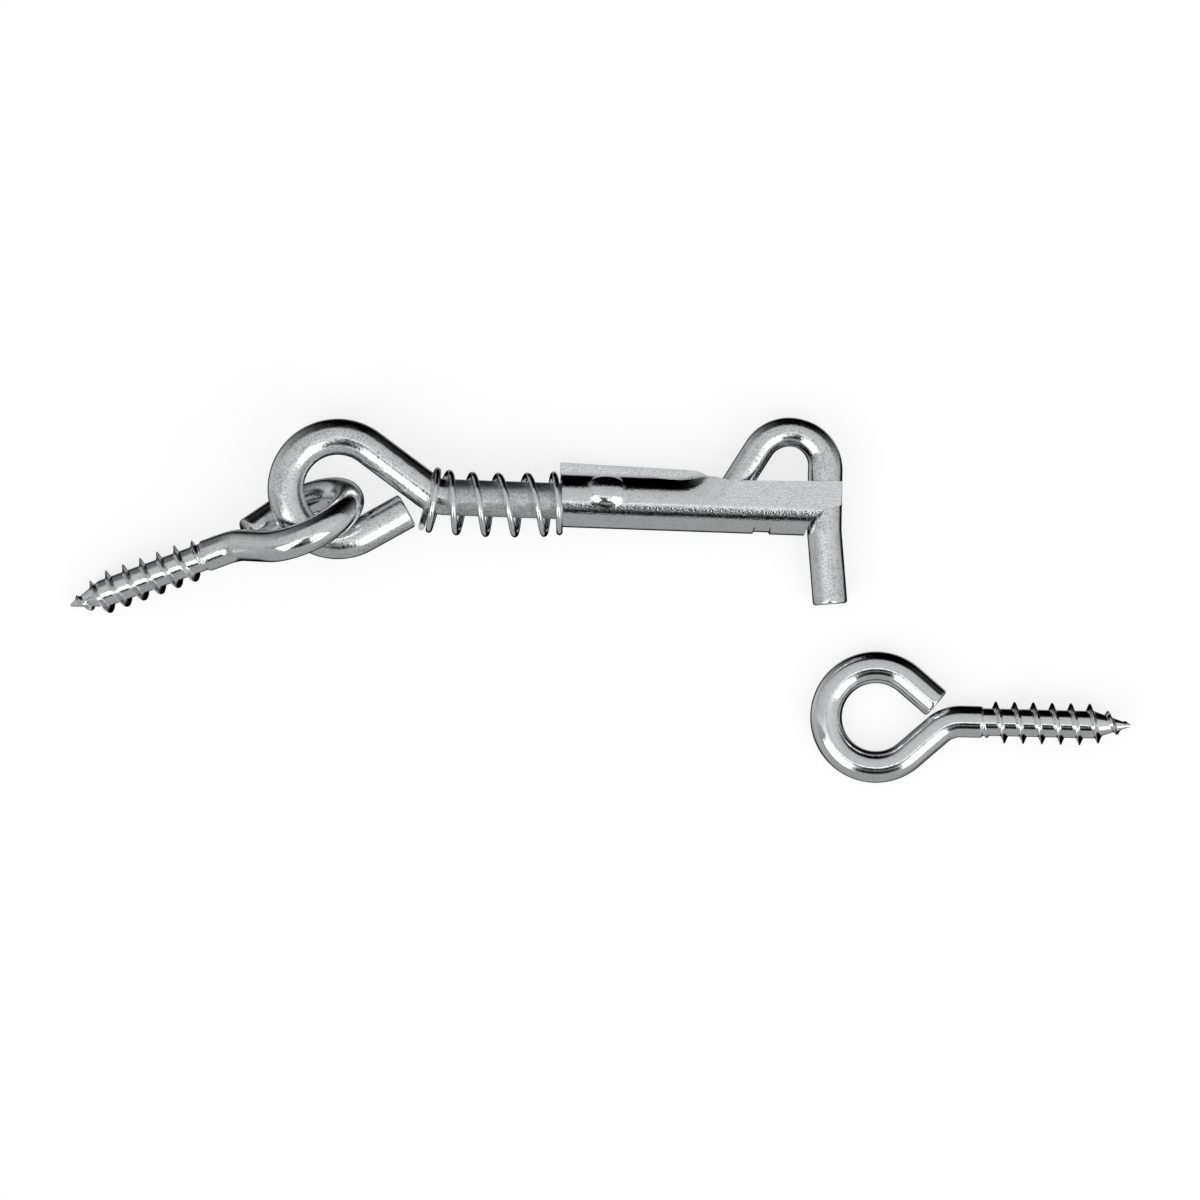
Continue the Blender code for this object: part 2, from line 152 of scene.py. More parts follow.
class Wire:
    """A wire in the XY plane, drawn out and bent ring by ring."""

    def __init__(self, name, diameter, at, heading):
        self.x, self.y = at
        self.heading = heading
        self.diameter = diameter
        self.fed = 0.0
        self.rings = [(0.0, diameter)]
        place = Matrix.Translation((self.x, self.y, 0.0)) @ Matrix.Rotation(heading, 4, "Z")
        self.obj = new_ring(name, WIRE_SIDES, diameter / 2, place)

    def swell(self, diameter):
        """Gives the ring just made its diameter."""
        if abs(diameter - self.diameter) > 1e-9:
            ratio = diameter / self.diameter
            bpy.ops.transform.resize(value=(ratio,) * 3, center_override=(self.x, self.y, 0.0))
            self.diameter = diameter
        self.rings.append((self.fed, diameter))

    def feed(self, length, diameter=None):
        """A straight run, with an even change to another diameter."""
        start = self.diameter
        end = diameter or start
        steps = max(1, math.ceil(length / RING_GAP))
        for step in range(1, steps + 1):
            ahead = Vector((math.cos(self.heading), math.sin(self.heading), 0.0)) * length / steps
            bpy.ops.mesh.extrude_region_move(TRANSFORM_OT_translate={"value": ahead})
            self.x += ahead.x
            self.y += ahead.y
            self.fed += length / steps
            self.swell(start + (end - start) * step / steps)

    def bend(self, degrees, radius, diameter=None):
        """A bend of a given radius: to the left for positive degrees."""
        start = self.diameter
        end = diameter or start
        angle = math.radians(degrees)
        hand = math.copysign(1.0, angle)
        steps = math.ceil(max(abs(angle) * radius / RING_GAP, abs(angle) / FINEST_BEND))
        centre_x = self.x - hand * radius * math.sin(self.heading)
        centre_y = self.y + hand * radius * math.cos(self.heading)
        for step in range(1, steps + 1):
            bpy.ops.mesh.extrude_region_move()
            # With no window open, the rotate operator turns clockwise for a positive value.
            bpy.ops.transform.rotate(
                value=-angle / steps, orient_axis="Z", center_override=(centre_x, centre_y, 0.0)
            )
            self.heading += angle / steps
            self.x = centre_x + hand * radius * math.sin(self.heading)
            self.y = centre_y - hand * radius * math.cos(self.heading)
            self.fed += abs(angle) * radius / steps
            self.swell(start + (end - start) * step / steps)

    def cut(self):
        """Closes both ends, and writes each ring's place on the straight wire."""
        cap_first_ring(WIRE_SIDES)
        places = []
        for along, diameter in self.rings:
            for corner in range(WIRE_SIDES):
                around = 2 * math.pi * corner / WIRE_SIDES
                places.append(
                    (along, diameter / 2 * math.cos(around), diameter / 2 * math.sin(around))
                )
        keep_straight_places(self.obj, places)
        print(f"{self.obj.name}: {1000 * self.fed:.1f} mm of wire in {len(self.rings)} rings")
        return self.obj


def rounded_start(name, diameter, at, heading):
    """A wire that starts with a rounded cut edge."""
    wire = Wire(name, diameter - 2 * CUT_EDGE, at, heading)
    for share in EDGE_SHARES:
        grown = diameter - 2 * CUT_EDGE * (1 - math.sqrt(1 - (1 - share) ** 2))
        wire.feed(EDGE_STEP * CUT_EDGE, grown)
    return wire


def rounded_end(wire):
    """Rounds the edge of the wire's last cut."""
    full = wire.diameter
    for share in EDGE_SHARES:
        wire.feed(EDGE_STEP * CUT_EDGE, full - 2 * CUT_EDGE * (1 - math.sqrt(1 - share**2)))


# %% [markdown]
# ## The closed loop
#
# The hook and both eyes start with the same shape: a loop like a teardrop, whose cut end nearly
# touches its own neck. Where the two straight strands leave the round part follows from their
# angles, so the corner where they meet is worked out and not guessed.

# %% The measures of a teardrop loop
SEAT_GAP = 0.3 * MM


def teardrop(radius, stem_degrees, end_degrees, lift, wire, neck_radius):
    """Lengths of a loop: the stem's corner, the two strands and the turn between them."""
    rise = math.radians(stem_degrees)
    drop = lift + radius * math.cos(rise)
    tangent = neck_radius * math.tan(rise / 2)
    meeting = math.radians(stem_degrees + end_degrees)
    cut_back = (wire / 2 * (1 + math.cos(meeting)) + SEAT_GAP) / math.sin(meeting)
    return {
        "stem_x": radius * math.sin(rise) + drop / math.tan(rise) + tangent,
        "strand": drop / math.sin(rise) - tangent,
        "end_strand": radius / math.tan(meeting / 2) - cut_back,
        "turn": 180.0 + stem_degrees + end_degrees,
    }


def start_of_cut_end(loop, radius, end_degrees, lift):
    """Where the wire's cut end lies, and the heading of the wire that leaves it."""
    low = math.radians(end_degrees)
    tangent = Vector((radius * math.sin(low), lift - radius * math.cos(low)))
    outwards = Vector((math.cos(low), math.sin(low)))
    return tangent + outwards * loop["end_strand"], low + math.pi


# %% [markdown]
# ## The hook
#
# The hook is one wire: cut end, loop, neck, rod, riser, crown and prong. The rod is 5 mm thick,
# and the arch is drawn thinner where the press has stretched it. The wire is bent in the order in
# which it lies, with the turn of every bend to the right or left as seen from above.

# %% Bend the hook
ROD_WIRE = 5.0 * MM
RISER_WIRE = 4.1 * MM
CROWN_WIRE = 4.0 * MM
PRONG_WIRE = 4.8 * MM
LOOP_RADIUS = 7.2 * MM
LOOP_STEM = 34.7
LOOP_END = 31.0
NECK_BEND_RADIUS = 4.5 * MM
ROD_LENGTH = 50.0 * MM
RISER_ANGLE = 59.5
RISER_BEND_RADIUS = 5.5 * MM
RISER_STRAIGHT = 6.4 * MM
CROWN_RADIUS = 5.0 * MM
CROWN_TURN = 148.5
PRONG_STRAIGHT = 7.9 * MM
PRONG_FLARE = 5.6
PRONG_FLARE_RADIUS = 12.0 * MM
PRONG_POINT = 9.7 * MM

hook_loop = teardrop(
    LOOP_RADIUS, LOOP_STEM, LOOP_END, LOOP_LIFT, ROD_WIRE, NECK_BEND_RADIUS
)
cut_at, cut_heading = start_of_cut_end(hook_loop, LOOP_RADIUS, LOOP_END, LOOP_LIFT)
crown_half = CROWN_TURN / 2

hook_wire = rounded_start("hook_wire", ROD_WIRE, cut_at, cut_heading)
hook_wire.feed(hook_loop["end_strand"] - EDGE_RUN)
hook_wire.bend(-hook_loop["turn"], LOOP_RADIUS)
hook_wire.feed(hook_loop["strand"])
hook_wire.bend(LOOP_STEM, NECK_BEND_RADIUS)
rod_from = hook_wire.fed
hook_wire.feed(ROD_LENGTH - hook_wire.x)
hook_wire.bend(RISER_ANGLE, RISER_BEND_RADIUS, RISER_WIRE)
hook_wire.feed(RISER_STRAIGHT)
hook_wire.bend(-crown_half, CROWN_RADIUS, CROWN_WIRE)
hook_wire.bend(-crown_half, CROWN_RADIUS, PRONG_WIRE)
prong_x = hook_wire.x
hook_wire.feed(PRONG_STRAIGHT)
hook_wire.bend(PRONG_FLARE, PRONG_FLARE_RADIUS)
hook_wire.feed(PRONG_POINT - EDGE_RUN)
rounded_end(hook_wire)
hook = hook_wire.cut()

# %% [markdown]
# ## The coil spring
#
# A spring is a helix. Each small step extrudes the wire's section, turns it about the rod and
# moves it ahead by the pitch. The pitch changes on the way: this coil is closed at both ends and
# open between them, it leans on the hook's neck at the back, and its middle bows out to the
# front.

# %% Wind the spring
SPRING_SIDES = 20
SPRING_WIRE = 0.9 * MM
SPRING_OUTER = 8.95 * MM
SPRING_TURNS = 6.0
SPRING_STEPS = 48
SPRING_BACK_CLOSED = 0.9
SPRING_FRONT_CLOSED = 0.45
SPRING_EASE = 0.35
SPRING_CLOSED_GAP = 0.1 * MM
SPRING_END_DROP = 0.25 * MM
SPRING_BOW = 0.6 * MM
SPRING_BACK_LEAN = 1.6 * MM
SPRING_FRONT_LEAN = -0.55 * MM
SPRING_LEAN_SPAN = 0.6
SLEEVE_LENGTH = 38.6 * MM
SLEEVE_SETBACK = 0.3 * MM


def ease(value):
    """Goes from 0 to 1 along a smooth S."""
    value = min(max(value, 0.0), 1.0)
    return value * value * (3.0 - 2.0 * value)


def coil_path(back, front):
    """Centre points of the coil with their angle about the rod."""
    mean = (SPRING_OUTER - SPRING_WIRE) / 2
    pitch = SPRING_WIRE + SPRING_CLOSED_GAP
    steps = round(SPRING_TURNS * SPRING_STEPS)
    turns = [SPRING_TURNS * step / steps for step in range(steps + 1)]
    openness = [
        ease((turn - SPRING_BACK_CLOSED) / SPRING_EASE)
        * ease((SPRING_TURNS - SPRING_FRONT_CLOSED - turn) / SPRING_EASE)
        for turn in turns
    ]
    opened = 0.0
    path = []
    for turn, open_here in zip(turns, openness):
        opened += open_here / sum(openness)
        angle = 2 * math.pi * (turn + 0.5)
        progress = turn / SPRING_TURNS
        lean = SPRING_BACK_LEAN + (SPRING_FRONT_LEAN - SPRING_BACK_LEAN) * ease(
            progress / SPRING_LEAN_SPAN
        )
        x = back + pitch * turn + (front - back - pitch * SPRING_TURNS) * opened
        x += lean * (1 + math.cos(angle)) / 2
        drop = SPRING_END_DROP + SPRING_BOW * math.sin(math.pi * progress)
        path.append((x, mean * math.cos(angle) - drop, mean * math.sin(angle), angle))
    return path


sleeve_front = prong_x + PRONG_WIRE / 2 - SLEEVE_SETBACK
sleeve_back = sleeve_front - SLEEVE_LENGTH
cut_corner_x = cut_at.x - math.sin(cut_heading) * ROD_WIRE / 2
path = coil_path(cut_corner_x + SEAT_GAP + SPRING_WIRE / 2, sleeve_back)
x, y, z, angle = path[0]
across = (
    Matrix.Translation((x, y, z))
    @ Matrix.Rotation(angle, 4, "X")
    @ Matrix.Rotation(-math.pi / 2, 4, "Y")
)
spring = new_ring("spring_coil", SPRING_SIDES, SPRING_WIRE / 2, across)
spring_places = []
wound = 0.0
for here, ahead in zip(path, path[1:]):
    step = Vector(ahead[:3]) - Vector(here[:3])
    bpy.ops.mesh.extrude_region_move(TRANSFORM_OT_translate={"value": step})
    bpy.ops.transform.rotate(
        value=-(ahead[3] - here[3]), orient_axis="X", center_override=ahead[:3]
    )
cap_first_ring(SPRING_SIDES)
for here, ahead in zip(path, path[1:] + path[-1:]):
    for corner in range(SPRING_SIDES):
        around = 2 * math.pi * corner / SPRING_SIDES
        spring_places.append(
            (wound, SPRING_WIRE / 2 * math.cos(around), SPRING_WIRE / 2 * math.sin(around))
        )
    wound += (Vector(ahead[:3]) - Vector(here[:3])).length
keep_straight_places(spring, spring_places)
print(f"spring_coil: {1000 * wound:.0f} mm of wire in {SPRING_TURNS:g} turns")

# %% [markdown]
# ## The locking sleeve
#
# The sleeve is a flat strip that a press folds round the rod. A grid is the strip, and its rows
# run along the rod. The rows are folded one after another, each fold turning all the sheet beyond
# it, as in a bending brake. The last rows curl over the rod at the back end only, so there each
# column of the sheet has its own angle.

# %% Measure the strip
SHEET = 0.75 * MM
SLEEVE_CLEARANCE = 0.35 * MM
CURL_LENGTH = 16.4 * MM
CURL_FADE = 6.4 * MM
CURL_LIFT = 0.2 * MM
FAR_ROWS = 5
ROUND_ROWS = 16
NEAR_ROWS = 15
NOTCH_FROM = 30.0 * MM
NOTCH_DROP = 0.5 * MM
FAR_EDGE = ((0.0, 5.4), (18.9, 4.95), (22.2, 3.65), (38.6, 4.1))
NEAR_EDGE = ((0.0, 8.0), (15.0, 4.35), (21.8, 4.2), (22.2, 3.65), (38.6, 4.1))

sleeve_outer = ROD_WIRE / 2 + SLEEVE_CLEARANCE + SHEET
round_length = math.pi * sleeve_outer
notch_radius = PRONG_WIRE - SLEEVE_SETBACK + SEAT_GAP
# The columns of the strip lie close together at the boss, and again at the notch.
stations = [0.65 * MM * step for step in range(20)]
stations += [13.0 * MM + 1.2 * MM * step for step in range(10)]
stations += [25.0 * MM + 0.625 * MM * step for step in range(8)]
stations += [
    NOTCH_FROM + (SLEEVE_LENGTH - NOTCH_FROM) * share
    for share in (0, 0.2, 0.4, 0.6, 0.75, 0.87, 0.95, 1)
]


def edge_height(corners, along):
    """Height of a cut edge, from its corners in millimetres."""
    for (left, low), (right, high) in zip(corners, corners[1:]):
        if along <= right * MM + 1e-9:
            return MM * low + (high - low) * (along - left * MM) / (right - left)
    return MM * corners[-1][1]


def on_strip(row, along):
    """How far a row lies from the foot of the far wall, measured over the flat sheet."""
    if row <= FAR_ROWS:
        return -edge_height(FAR_EDGE, along) * (1 - row / FAR_ROWS)
    if row <= FAR_ROWS + ROUND_ROWS:
        return round_length * (row - FAR_ROWS) / ROUND_ROWS
    share = (row - FAR_ROWS - ROUND_ROWS - 1) / (NEAR_ROWS - 1)
    return round_length + CURL_LIFT + (edge_height(NEAR_EDGE, along) - CURL_LIFT) * share


def cut_front(row):
    """Where a row ends at the round notch that clears the prong."""
    level = on_strip(row, SLEEVE_LENGTH)
    if row < FAR_ROWS:
        level = -level
    elif row <= FAR_ROWS + ROUND_ROWS:
        level = -sleeve_outer * math.sin(level / sleeve_outer)
    else:
        level -= round_length
    above = level + sleeve_outer + NOTCH_DROP
    return SLEEVE_LENGTH - math.sqrt(max(notch_radius**2 - above**2, 0.0))


rows = FAR_ROWS + ROUND_ROWS + NEAR_ROWS
strip_width = on_strip(rows, 0.0) - on_strip(0, 0.0)
print(f"flat strip: {1000 * SLEEVE_LENGTH:.1f} x {1000 * strip_width:.1f} mm")

# %% Cut the blank
columns = len(stations)
bpy.ops.object.select_all(action="DESELECT")
bpy.ops.mesh.primitive_grid_add(x_subdivisions=columns - 1, y_subdivisions=rows, size=1.0)
sleeve = bpy.context.object
sleeve.name = sleeve.data.name = "folded_sleeve"
for vertex in sleeve.data.vertices:
    row, column = divmod(vertex.index, columns)
    along = stations[column]
    if along > NOTCH_FROM:
        share = (along - NOTCH_FROM) / (SLEEVE_LENGTH - NOTCH_FROM)
        along = NOTCH_FROM + share * (cut_front(row) - NOTCH_FROM)
    vertex.co = (along, on_strip(row, along), 0.0)
keep_straight_places(sleeve, [tuple(vertex.co) for vertex in sleeve.data.vertices])

# %% Fold the far wall and the round bottom


def turn_beyond(piece, beyond, hinge, angle):
    """Turns the vertices that a test picks by their index, about the X axis through a hinge."""
    mesh = piece.data
    mesh.edges.foreach_set("select", [False] * len(mesh.edges))
    mesh.polygons.foreach_set("select", [False] * len(mesh.polygons))
    mesh.vertices.foreach_set("select", [beyond(index) for index in range(len(mesh.vertices))])
    bpy.ops.object.mode_set(mode="EDIT")
    bpy.ops.transform.rotate(value=-angle, orient_axis="X", center_override=hinge)
    bpy.ops.object.mode_set(mode="OBJECT")


bpy.ops.object.mode_set(mode="EDIT")
bpy.ops.mesh.select_mode(type="VERT")
bpy.ops.object.mode_set(mode="OBJECT")
fold = -math.pi / ROUND_ROWS
for row in range(FAR_ROWS, FAR_ROWS + ROUND_ROWS + 1):
    hinge = sleeve.data.vertices[row * columns].co.copy()
    half = row in (FAR_ROWS, FAR_ROWS + ROUND_ROWS)
    turn_beyond(sleeve, lambda index: index // columns > row, hinge, fold / 2 if half else fold)

# %% Curl the near wall over the rod
for row in range(FAR_ROWS + ROUND_ROWS + 1, rows):
    for column, along in enumerate(stations):
        curl = 1.0 - ease((along - CURL_LENGTH) / CURL_FADE)
        if curl < 1e-4:
            continue
        run = on_strip(row + 1, along) - on_strip(row, along)
        hinge = sleeve.data.vertices[row * columns + column].co.copy()
        turn_beyond(
            sleeve,
            lambda index: index % columns == column and index // columns > row,
            hinge,
            -curl * run / sleeve_outer * (0.5 if row == FAR_ROWS + ROUND_ROWS + 1 else 1.0),
        )

# The strip was folded on its back: half a turn stands it up, with the rod's axis as its own.
bpy.ops.object.mode_set(mode="EDIT")
bpy.ops.mesh.select_all(action="SELECT")
bpy.ops.transform.rotate(value=math.pi, orient_axis="X", center_override=(0.0, 0.0, 0.0))
bpy.ops.transform.translate(value=(sleeve_back, 0.0, -sleeve_outer))
bpy.ops.object.mode_set(mode="OBJECT")
low = min(vertex.co.y for vertex in sleeve.data.vertices)
print("folded_sleeve:", len(sleeve.data.polygons), "faces, lowest fold", round(1000 * low, 2), "mm")

# %% [markdown]
# ## Pressed marks and the sheet's thickness
#
# A punch has pushed a round thumb boss out of the sleeve's near side, and a small tab is half
# pierced in its floor. Both are pressed after the folding, once the strip is smoothed and has
# enough points. Extruding a few faces would leave a ragged rim, so the press is a formula: each
# point moves by a height that is read from a profile through the mark. Then the skin gets the
# thickness of the sheet, and its cut edges are rounded.

# %% Smooth the strip and press the marks
BOSS_HEIGHT = 0.6 * MM
BOSS_FROM_BACK = 6.2 * MM
BOSS_ANGLE = math.radians(31.0)
BOSS_PROFILE = (
    (0.0, 1.0),
    (1.0, 0.99),
    (1.4, 0.95),
    (1.8, 0.85),
    (2.1, 0.71),
    (2.3, 0.53),
    (2.45, 0.31),
    (2.6, 0.17),
    (2.8, 0.07),
    (3.2, 0.0),
)
TAB_LENGTH = 2.4 * MM
TAB_WIDTH = 4.9 * MM
TAB_FROM_FRONT = 10.75 * MM
TAB_DEPTH = 0.28 * MM
TAB_SLOPE = 0.2 * MM
SHEET_EDGE = 0.13 * MM


def active_only(piece):
    """Makes a piece the only one that the next operator acts on."""
    bpy.ops.object.select_all(action="DESELECT")
    piece.select_set(True)
    bpy.context.view_layer.objects.active = piece


def finish_with(piece, kind, **settings):
    """Adds a modifier and applies it."""
    active_only(piece)
    modifier = piece.modifiers.new(kind.lower(), kind)
    for name, value in settings.items():
        setattr(modifier, name, value)
    bpy.ops.object.modifier_apply(modifier=modifier.name)


def smooth_profile(corners, value):
    """Reads a smooth line through corners, level at its two ends."""
    slopes = [0.0]
    for before, here, after in zip(corners, corners[1:], corners[2:]):
        slopes.append((after[1] - before[1]) / (after[0] - before[0]))
    slopes.append(0.0)
    for index, ((left, low), (right, high)) in enumerate(zip(corners, corners[1:])):
        if value <= right:
            span = right - left
            part = (value - left) / span
            return (
                low * (1 + 2 * part) * (1 - part) ** 2
                + high * part * part * (3 - 2 * part)
                + span * slopes[index] * part * (1 - part) ** 2
                + span * slopes[index + 1] * part * part * (part - 1)
            )
    return corners[-1][1]


def boss_height(along, across):
    """Height of the boss over the flat sheet, from a point's place on it."""
    middle = round_length + CURL_LIFT + sleeve_outer * BOSS_ANGLE
    return BOSS_HEIGHT * smooth_profile(
        BOSS_PROFILE, math.hypot(along - BOSS_FROM_BACK, across - middle) / MM
    )


def tab_depth(point):
    """How far the tab is pushed in towards the rod, at a point of the folded sheet."""
    if point.y > 0.0:
        return 0.0
    along = TAB_LENGTH / 2 - abs(point.x - (sleeve_front - TAB_FROM_FRONT))
    across = TAB_WIDTH / 2 - abs(point.z)
    return TAB_DEPTH * ease(along / TAB_SLOPE) * ease(across / TAB_SLOPE)


def press_marks(piece):
    """Pushes the boss out and the tab in."""
    out = Vector((0.0, math.sin(BOSS_ANGLE), math.cos(BOSS_ANGLE)))
    flat = piece.data.attributes["straight"].data
    for vertex in piece.data.vertices:
        place = flat[vertex.index].vector
        vertex.co += out * boss_height(place.x, place.y)
        towards_rod = Vector((0.0, -vertex.co.y, -vertex.co.z)).normalized()
        vertex.co += towards_rod * tab_depth(vertex.co)


finish_with(sleeve, "SUBSURF", levels=2, render_levels=2, boundary_smooth="PRESERVE_CORNERS")
press_marks(sleeve)
bottom_face = min(sleeve.data.polygons, key=lambda face: face.center.y)
if bottom_face.normal.y > 0.0:
    sleeve.data.flip_normals()
finish_with(sleeve, "SOLIDIFY", thickness=SHEET, offset=-1.0, use_even_offset=True)
finish_with(
    sleeve,
    "BEVEL",
    width=SHEET_EDGE,
    segments=3,
    limit_method="ANGLE",
    angle_limit=math.radians(50),
)
print("folded_sleeve:", len(sleeve.data.polygons), "faces with its thickness")

# %% [markdown]
# ## The screw eyes
#
# Each eye is bent like the hook's loop and goes on as a wood screw. The rings of the screw are
# extruded with a twist, one full turn for each pitch, so that a line of points runs along the
# crest of the thread. The thread is then rolled: each point moves out by how near it is to the
# crest, and the whole narrows to a point.

# %% Roll a thread on a drawn wire
EYE_WIRE = 4.4 * MM
EYE_RADIUS = 6.9 * MM
EYE_LIFT = -0.3 * MM
EYE_STEM = 42.0
EYE_END = 39.5
EYE_NECK_BEND_RADIUS = 5.0 * MM
NECK_LENGTH = 2.6 * MM
NECK_RUN_OUT = 0.5 * MM
SCREW_CORE = 3.8 * MM
SCREW_LENGTH = 20.2 * MM
SCREW_POINT_LENGTH = 5.0 * MM
SCREW_TIP = 0.4 * MM
THREAD_PITCH = 2.6 * MM
THREAD_RADIUS = 2.9 * MM
THREAD_STEPS = 40
CREST_WIDTH = 0.10 * MM
FLANK_WIDTH = 0.44 * MM
FLANK_HOLLOW = 1.4
THREAD_START = 0.2 * MM
THREAD_RISE = 1.6 * MM
THREAD_FALL = 1.0 * MM
POINT_THREAD = 0.25


def draw_screw(wire, length):
    """Draws a straight shank whose rings turn once for each pitch of the thread."""
    steps = math.ceil(length / THREAD_PITCH * THREAD_STEPS)
    for _ in range(steps):
        ahead = (length / steps, 0.0, 0.0)
        bpy.ops.mesh.extrude_region_move(TRANSFORM_OT_translate={"value": ahead})
        wire.x += length / steps
        wire.fed += length / steps
        bpy.ops.transform.rotate(
            value=-2 * math.pi * length / steps / THREAD_PITCH,
            orient_axis="X",
            center_override=(wire.x, wire.y, 0.0),
        )
        wire.rings.append((wire.fed, wire.diameter))


def screw_radius(past_neck, from_crest):
    """Radius of the screw, from the distance past the neck and from the thread's crest."""
    left = SCREW_LENGTH + NECK_RUN_OUT - past_neck
    core = SCREW_CORE / 2 + (EYE_WIRE - SCREW_CORE) / 2 * (1 - ease(past_neck / NECK_RUN_OUT))
    cone = min(left / SCREW_POINT_LENGTH, 1.0)
    core = SCREW_TIP / 2 + (core - SCREW_TIP / 2) * cone
    height = (THREAD_RADIUS - SCREW_CORE / 2) * (POINT_THREAD + (1 - POINT_THREAD) * cone)
    height *= ease((past_neck - THREAD_START) / THREAD_RISE) * ease(left / THREAD_FALL)
    flank = 1.0 - max(abs(from_crest) - CREST_WIDTH / 2, 0.0) / FLANK_WIDTH
    return core + height * max(flank, 0.0) ** FLANK_HOLLOW


def screw_eye(name, place, crest_at):
    """Bends and threads an eye in the XY plane, its screw along +X, and puts it in its place."""
    loop = teardrop(EYE_RADIUS, EYE_STEM, EYE_END, EYE_LIFT, EYE_WIRE, EYE_NECK_BEND_RADIUS)
    start, heading = start_of_cut_end(loop, EYE_RADIUS, EYE_END, EYE_LIFT)
    wire = rounded_start(name, EYE_WIRE, (start.x, -start.y), -heading)
    wire.feed(loop["end_strand"] - EDGE_RUN)
    wire.bend(loop["turn"], EYE_RADIUS)
    wire.feed(loop["strand"])
    wire.bend(-EYE_STEM, EYE_NECK_BEND_RADIUS)
    wire.feed(loop["stem_x"] + NECK_LENGTH - wire.x)
    neck = wire.x
    draw_screw(wire, NECK_RUN_OUT + SCREW_LENGTH)
    eye = wire.cut()
    for vertex in eye.data.vertices:
        past_neck = vertex.co.x - neck
        if past_neck > 1e-7:
            around = math.atan2(vertex.co.z, vertex.co.y)
            turns = around / (2 * math.pi) - (vertex.co.x - crest_at) / THREAD_PITCH
            from_crest = (turns - round(turns)) * THREAD_PITCH
            radius = screw_radius(past_neck, from_crest)
            vertex.co.y = radius * math.cos(around)
            vertex.co.z = radius * math.sin(around)
    eye.data.transform(place)
    print(f"{name}: thread of {THREAD_PITCH * 1000:.1f} mm pitch over {SCREW_LENGTH * 1000:.1f} mm")
    return eye


# %% [markdown]
# ## Where the eyes lie
#
# The fixed eye hangs in the hook's loop and leans on it. The other eye lies flat beside the
# prong. Each ring is turned and moved by the same measures as in the model.

# %% Place the pieces
FIXED_EYE_HEADING = 201.9
FIXED_EYE_DIP = 12.4
FIXED_EYE_ROLL = 248.0
LINK_DIRECTION = 223.2
LINK_INSET = 0.75 * MM
CATCH_EYE_HEADING = 0.6
CATCH_EYE_DIP = -1.8
CATCH_EYE_ASIDE = (6.8 * MM, -15.4 * MM)
# Where along X the crest of each thread crosses the screw's Y side.
FIXED_EYE_CREST = 0.7 * MM
CATCH_EYE_CREST = 0.95 * MM
SHARPEST_SMOOTH = math.radians(35)


def eye_turn(heading, dip, roll):
    """Turns an eye about its ring: round on the table, down at its point, about its screw."""
    return (
        Matrix.Rotation(math.radians(heading), 4, "Z")
        @ Matrix.Rotation(math.radians(dip), 4, "Y")
        @ Matrix.Rotation(math.radians(roll), 4, "X")
        @ Matrix.Translation((0.0, EYE_LIFT, 0.0))
    )


def ring_height(dip, roll):
    """Height of a ring's centre when its lowest point touches the table."""
    dip, roll = math.radians(dip), math.radians(roll)
    return EYE_WIRE / 2 + EYE_RADIUS * math.hypot(math.sin(dip), math.cos(dip) * math.sin(roll))


# The eyes are placed from the hook's loop as it was before the whole part was set on the table.
slope = math.asin(-to_prong.z)
loop_height = sleeve_front * math.sin(slope) + sleeve_outer * math.cos(slope)
unmoved = Matrix.Translation((0.0, 0.0, loop_height)) @ Matrix.Rotation(slope, 4, "Y")
to_table = hook_place @ unmoved.inverted()
reach = LOOP_RADIUS - LINK_INSET
link = math.radians(LINK_DIRECTION)
fixed_centre = Vector(
    (
        reach * math.cos(link),
        LOOP_LIFT + reach * math.sin(link),
        ring_height(FIXED_EYE_DIP, FIXED_EYE_ROLL),
    )
)
catch_centre = Vector(
    (
        hook_wire.x + CATCH_EYE_ASIDE[0],
        hook_wire.y + CATCH_EYE_ASIDE[1],
        ring_height(CATCH_EYE_DIP, 0.0),
    )
)
fixed_eye = screw_eye(
    "fixed_eye_wire",
    to_table
    @ Matrix.Translation(fixed_centre)
    @ eye_turn(FIXED_EYE_HEADING, FIXED_EYE_DIP, FIXED_EYE_ROLL),
    FIXED_EYE_CREST,
)
catch_eye = screw_eye(
    "catch_eye_wire",
    to_table
    @ Matrix.Translation(catch_centre)
    @ eye_turn(CATCH_EYE_HEADING, CATCH_EYE_DIP, 0.0),
    CATCH_EYE_CREST,
)
for piece in (hook, spring, sleeve):
    piece.data.transform(hook_place)
for piece, node in (
    (hook, "hook"),
    (spring, "compression_spring"),
    (sleeve, "locking_sleeve"),
    (fixed_eye, "fixed_screw_eye"),
    (catch_eye, "catch_screw_eye"),
):
    active_only(piece)
    bpy.ops.object.shade_smooth_by_angle(angle=SHARPEST_SMOOTH)
    low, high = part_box(node)
    gaps = []
    for axis in range(3):
        reach_here = [vertex.co[axis] for vertex in piece.data.vertices]
        gaps.append(round(1000 * (min(reach_here) - low[axis]), 2))
        gaps.append(round(1000 * (max(reach_here) - high[axis]), 2))
    print(piece.name, "differs from the model's box by mm", gaps)

# %% [markdown]
# ## Shader maths as sums
#
# Materials are built from nodes. A small class wraps a socket and gives it Python's own
# operators, so that an expression adds the Math nodes that it needs.

# %% A socket with operators


class Signal:
    """A number that changes over a surface: the output socket of a node."""

    def __init__(self, paint, socket):
        self.paint = paint
        self.socket = socket

    def _with(self, operation, first, second):
        return self.paint.node("ShaderNodeMath", {"operation": operation}, {0: first, 1: second})

    def __add__(self, other):
        return self._with("ADD", self, other)

    __radd__ = __add__

    def __sub__(self, other):
        return self._with("SUBTRACT", self, other)

    def __rsub__(self, other):
        return self._with("SUBTRACT", other, self)

    def __mul__(self, other):
        return self._with("MULTIPLY", self, other)

    __rmul__ = __mul__


